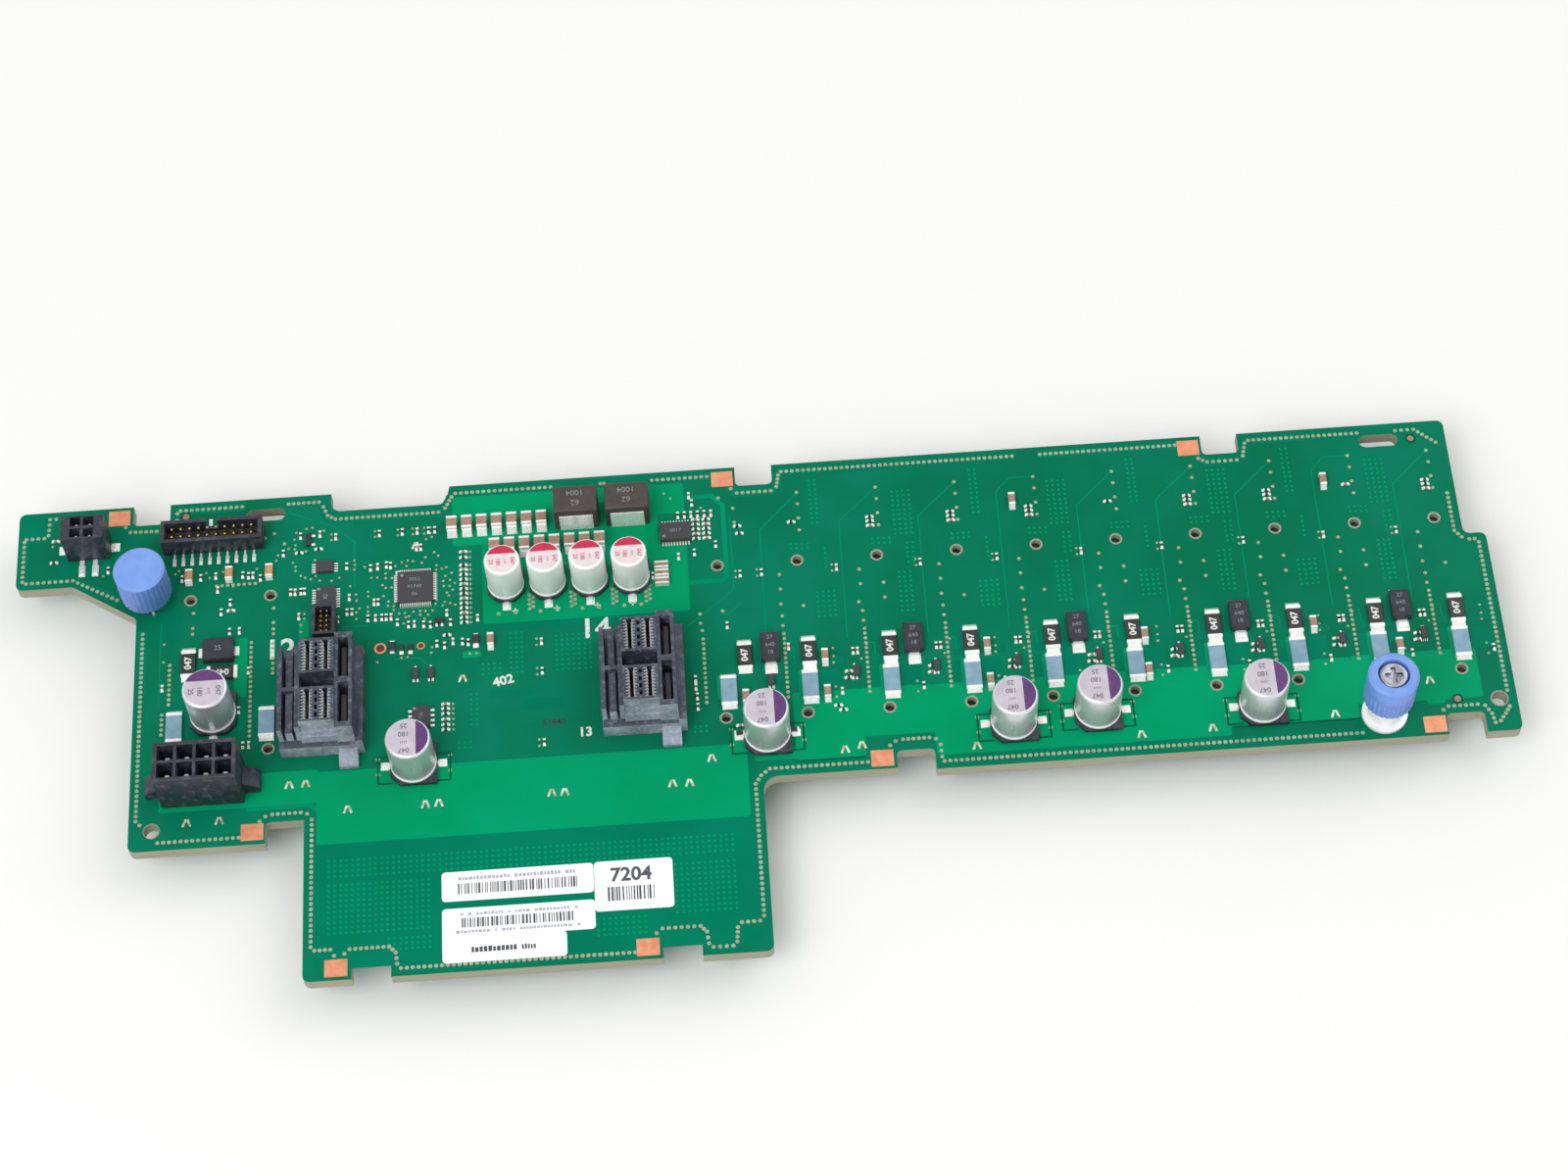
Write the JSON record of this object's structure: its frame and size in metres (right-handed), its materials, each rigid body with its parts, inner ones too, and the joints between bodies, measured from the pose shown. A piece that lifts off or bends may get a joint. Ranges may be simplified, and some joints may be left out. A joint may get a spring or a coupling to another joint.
{
  "type": "drive backplane board",
  "caption": "Drive backplane circuit board with drive receptacles below, cable and power connectors above, a captive screw and a sprung locating plunger.",
  "frame": {"origin": "middle of the overall footprint, on the plane of the drive connectors' mating faces", "axes": "+X along the board, away from the narrow tab; +Y across it to the straight long edge; +Z out of the cable side"},
  "size_m": [0.3314, 0.1218, 0.0298],
  "materials": {
    "solder_masked_laminate": "green solder mask over glass-epoxy laminate, glossy",
    "tinned_copper": "tin-plated copper, satin",
    "black_connector_plastic": "black glass-filled connector plastic, fine matt",
    "gold_plated_pins": "gold flash over nickel, satin",
    "tin_plated_pins": "tin plate, satin",
    "aluminium_can": "drawn aluminium, satin",
    "ferrite": "pressed iron powder, matt dark grey",
    "ceramic": "fired brown ceramic, semi-matt",
    "tan_ceramic": "fired tan ceramic, semi-matt",
    "resistor_black": "black glaze over alumina",
    "fuse_ceramic": "blue-grey glass ceramic, semi-matt",
    "moulded_epoxy": "moulded black epoxy, fine matt",
    "label_paper": "white coated label paper, matt",
    "white_ferrule": "bright tin-plated steel, satin",
    "blue_knob_plastic": "light blue moulded nylon, fine matt",
    "plated_steel": "nickel-plated steel, satin",
    "spring_steel": "bright spring wire"
  },
  "bodies": {
    "board": {"aux_header_housing": "black_connector_plastic", "aux_header_pins": "gold_plated_pins", "cable_connector_1": "black_connector_plastic", "cable_connector_2": "black_connector_plastic", "capacitor_bases": "black_connector_plastic", "capacitor_cans": "aluminium_can", "capacitor_leads": "tinned_copper", "ceramic_capacitors": "ceramic", "chip_leads": "tinned_copper", "chip_terminals": "tinned_copper", "circuit_board": "solder_masked_laminate", "controller_chip": "moulded_epoxy", "diode_bodies": "moulded_epoxy", "diode_tabs": "tinned_copper", "drive_connector_01": "black_connector_plastic", "drive_connector_02": "black_connector_plastic", "drive_connector_03": "black_connector_plastic", "drive_connector_04": "black_connector_plastic", "drive_connector_05": "black_connector_plastic", "drive_connector_06": "black_connector_plastic", "drive_connector_07": "black_connector_plastic", "drive_connector_08": "black_connector_plastic", "drive_connector_09": "black_connector_plastic", "drive_connector_10": "black_connector_plastic", "drive_connector_11": "black_connector_plastic", "drive_connector_12": "black_connector_plastic", "ground_pads": "tinned_copper", "inductor_clips": "tinned_copper", "paper_labels": "label_paper", "plunger_barrel": "plated_steel", "power_header_housing": "black_connector_plastic", "power_header_pins": "tin_plated_pins", "power_inductor_1": "ferrite", "power_inductor_2": "ferrite", "regulator_chip": "moulded_epoxy", "ribbon_header_pins": "gold_plated_pins", "ribbon_header_shroud": "black_connector_plastic", "screw_ferrule": "white_ferrule", "sense_resistors": "resistor_black", "service_header_pins": "gold_plated_pins", "service_header_shroud": "black_connector_plastic", "small_chips": "moulded_epoxy", "surface_fuses": "fuse_ceramic", "tan_chip_parts": "tan_ceramic", "transistor_bodies": "moulded_epoxy"},
    "screw_lift": {"screw_spring": "spring_steel"},
    "screw": {"screw_knob": "blue_knob_plastic", "captive_screw": "plated_steel"},
    "plunger": {"plunger_knob": "blue_knob_plastic", "plunger_pin": "plated_steel", "plunger_spring": "spring_steel"}
  },
  "joints": [
    {"name": "screw_press", "type": "slide", "parent": "board", "child": "screw_lift", "axis": [0, 0, -1], "range_m": [0, 0.005], "stiffness_N_per_m": 800, "springref_m": -0.002, "deforming": ["screw_spring"]},
    {"name": "screw_turn", "type": "hinge", "parent": "screw_lift", "child": "screw", "pos_m": [0.1362, -0.0143, 0.02], "axis": [0, 0, 1], "continuous": true},
    {"name": "plunger_pull", "type": "slide", "parent": "board", "child": "plunger", "axis": [0, 0, 1], "range_m": [0, 0.004], "stiffness_N_per_m": 700, "springref_m": -0.003, "deforming": ["plunger_spring"]}
  ]
}
